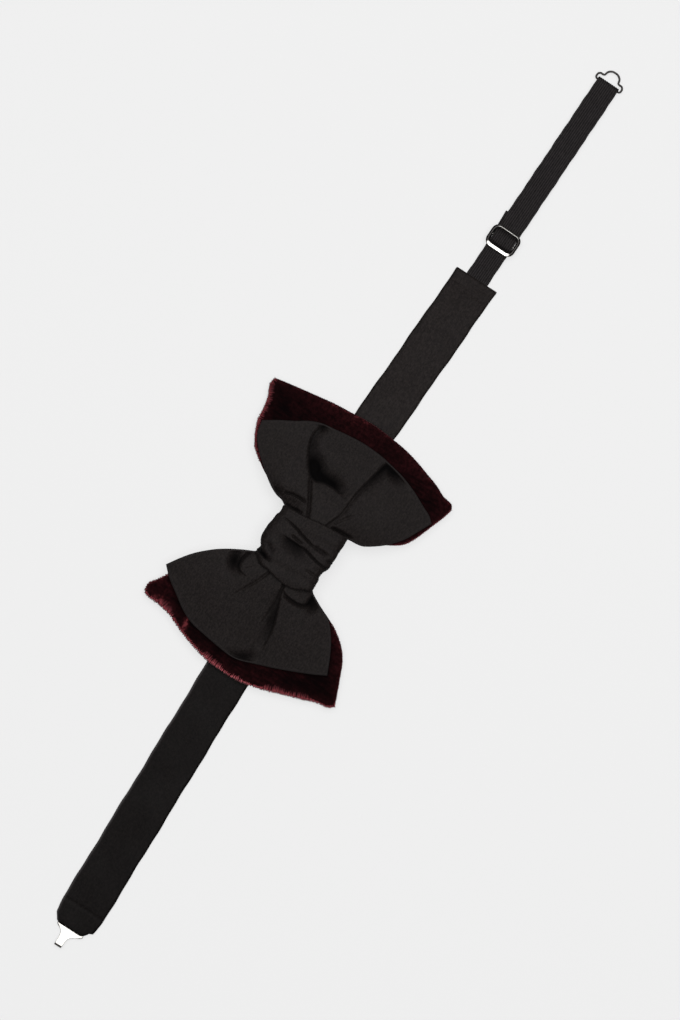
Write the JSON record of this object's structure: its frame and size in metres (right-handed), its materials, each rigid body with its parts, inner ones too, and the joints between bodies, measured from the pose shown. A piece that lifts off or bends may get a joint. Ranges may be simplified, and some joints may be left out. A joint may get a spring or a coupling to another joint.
{
  "type": "bow tie",
  "caption": "Pre-tied layered bow on an adjustable neckband: velvet bow behind a satin bow, satin knot, elastic slide, hook and eye closure.",
  "frame": {"origin": "middle of the knot, on the surface that the tie lies on, which is the flat back of the knot", "axes": "+X along the neckband towards the eye, -X towards the hook, +Y across the band towards the upper corners of the bow, +Z out of the front of the bow"},
  "size_m": [0.4246, 0.094, 0.014],
  "materials": {
    "black_satin": "satin",
    "burgundy_velvet": "matte",
    "interlining": "matte",
    "black_elastic": "matte",
    "nickel": "polished",
    "black_thread": "matte"
  },
  "bodies": {
    "bow": {"neckband_centre": "black_satin", "neckband_centre_lining": "interlining", "velvet_waist": "burgundy_velvet", "satin_waist": "black_satin", "cinch_thread": "black_thread", "knot_pad": "interlining", "knot_wrap": "black_satin", "knot_seam_stitch": "black_thread"},
    "hook_velvet": {"hook_velvet_wing": "burgundy_velvet", "hook_velvet_lining": "interlining"},
    "hook_satin": {"hook_satin_wing": "black_satin", "hook_satin_lining": "interlining"},
    "slider_velvet": {"slider_velvet_wing": "burgundy_velvet", "slider_velvet_lining": "interlining"},
    "slider_satin": {"slider_satin_wing": "black_satin", "slider_satin_lining": "interlining"},
    "hook_band_1": {"hook_side_band_1": "black_satin", "hook_side_lining_1": "interlining"},
    "hook_band_2": {"hook_side_band_2": "black_satin", "hook_side_lining_2": "interlining"},
    "hook_band_3": {"hook_side_band_3": "black_satin", "hook_side_lining_3": "interlining"},
    "hook_band_4": {"hook_side_band_4": "black_satin", "hook_side_lining_4": "interlining", "hook_end_fold": "black_satin", "hook_end_stitch": "black_thread"},
    "hook": {"hook": "nickel"},
    "slider_band_1": {"slider_side_band_1": "black_satin", "slider_side_lining_1": "interlining"},
    "slider_band_2": {"slider_side_band_2": "black_satin", "slider_side_lining_2": "interlining"},
    "slider_band_3": {"slider_side_band_3": "black_satin", "slider_side_lining_3": "interlining", "elastic_fixed_run": "black_elastic"},
    "slider": {"slide_buckle": "nickel", "elastic_upper_run": "black_elastic", "elastic_lower_run": "black_elastic", "tab_stitch": "black_thread"},
    "eye_carrier": {"elastic_eye_bend": "black_elastic"},
    "eye": {"eye": "nickel"}
  },
  "joints": [
    {"name": "hook_velvet_lift", "type": "hinge", "parent": "bow", "child": "hook_velvet", "pos_m": [-0.0156, 0, 0.0095], "axis": [0, 1, 0], "range_deg": [0, 20], "stiffness_Nm_per_rad": 0.0002},
    {"name": "hook_satin_lift", "type": "hinge", "parent": "hook_velvet", "child": "hook_satin", "pos_m": [-0.0156, 0, 0.0095], "axis": [0, 1, 0], "range_deg": [0, 20], "stiffness_Nm_per_rad": 0.0002},
    {"name": "slider_velvet_lift", "type": "hinge", "parent": "bow", "child": "slider_velvet", "pos_m": [0.0156, 0, 0.0095], "axis": [0, -1, 0], "range_deg": [0, 20], "stiffness_Nm_per_rad": 0.0002},
    {"name": "slider_satin_lift", "type": "hinge", "parent": "slider_velvet", "child": "slider_satin", "pos_m": [0.0156, 0, 0.0095], "axis": [0, -1, 0], "range_deg": [0, 20], "stiffness_Nm_per_rad": 0.0002},
    {"name": "hook_band_bend_1", "type": "hinge", "parent": "bow", "child": "hook_band_1", "pos_m": [-0.0174, 0.00024, 0.00235], "axis": [0, -1, 0], "range_deg": [0, 25], "stiffness_Nm_per_rad": 0.0001},
    {"name": "hook_band_bend_2", "type": "hinge", "parent": "hook_band_1", "child": "hook_band_2", "pos_m": [-0.058, -0.0013, 0.00105], "axis": [0, -1, 0], "range_deg": [-20, 35], "stiffness_Nm_per_rad": 0.0001},
    {"name": "hook_band_bend_3", "type": "hinge", "parent": "hook_band_2", "child": "hook_band_3", "pos_m": [-0.1, -0.00236, 0.00105], "axis": [0, -1, 0], "range_deg": [-30, 40], "stiffness_Nm_per_rad": 0.0001},
    {"name": "hook_band_bend_4", "type": "hinge", "parent": "hook_band_3", "child": "hook_band_4", "pos_m": [-0.142, -0.00342, 0.00105], "axis": [0, -1, 0], "range_deg": [-30, 40], "stiffness_Nm_per_rad": 0.0001},
    {"name": "hook_tilt", "type": "hinge", "parent": "hook_band_4", "child": "hook", "pos_m": [-0.1809, -0.0043, 0.00105], "axis": [0, -1, 0], "range_deg": [-45, 45]},
    {"name": "slider_band_bend_1", "type": "hinge", "parent": "bow", "child": "slider_band_1", "pos_m": [0.0174, 0.00156, 0.00235], "axis": [0, 1, 0], "range_deg": [0, 25], "stiffness_Nm_per_rad": 0.0001},
    {"name": "slider_band_bend_2", "type": "hinge", "parent": "slider_band_1", "child": "slider_band_2", "pos_m": [0.058, 0.0031, 0.00105], "axis": [0, 1, 0], "range_deg": [-20, 35], "stiffness_Nm_per_rad": 0.0001},
    {"name": "slider_band_bend_3", "type": "hinge", "parent": "slider_band_2", "child": "slider_band_3", "pos_m": [0.095, 0.00183, 0.00105], "axis": [0, 1, 0], "range_deg": [-30, 40], "stiffness_Nm_per_rad": 0.0001},
    {"name": "slider_slide", "type": "slide", "parent": "slider_band_3", "child": "slider", "axis": [0.9998, -0.0175, 0], "range_m": [-0.006, 0.06], "deforming": ["elastic_fixed_run"]},
    {"name": "eye_follow", "type": "slide", "parent": "slider", "child": "eye_carrier", "axis": [0.9998, -0.0175, 0], "range_m": [-0.03, 0.003], "deforming": ["elastic_upper_run", "elastic_lower_run"]},
    {"name": "eye_tilt", "type": "hinge", "parent": "eye_carrier", "child": "eye", "pos_m": [0.22789, -0.00112, 0.00135], "axis": [0.0175, 0.9998, 0], "range_deg": [-60, 60]}
  ],
  "couplings": [
    {"joint": "eye_follow", "follows": "slider_slide", "ratio": -0.5}
  ]
}
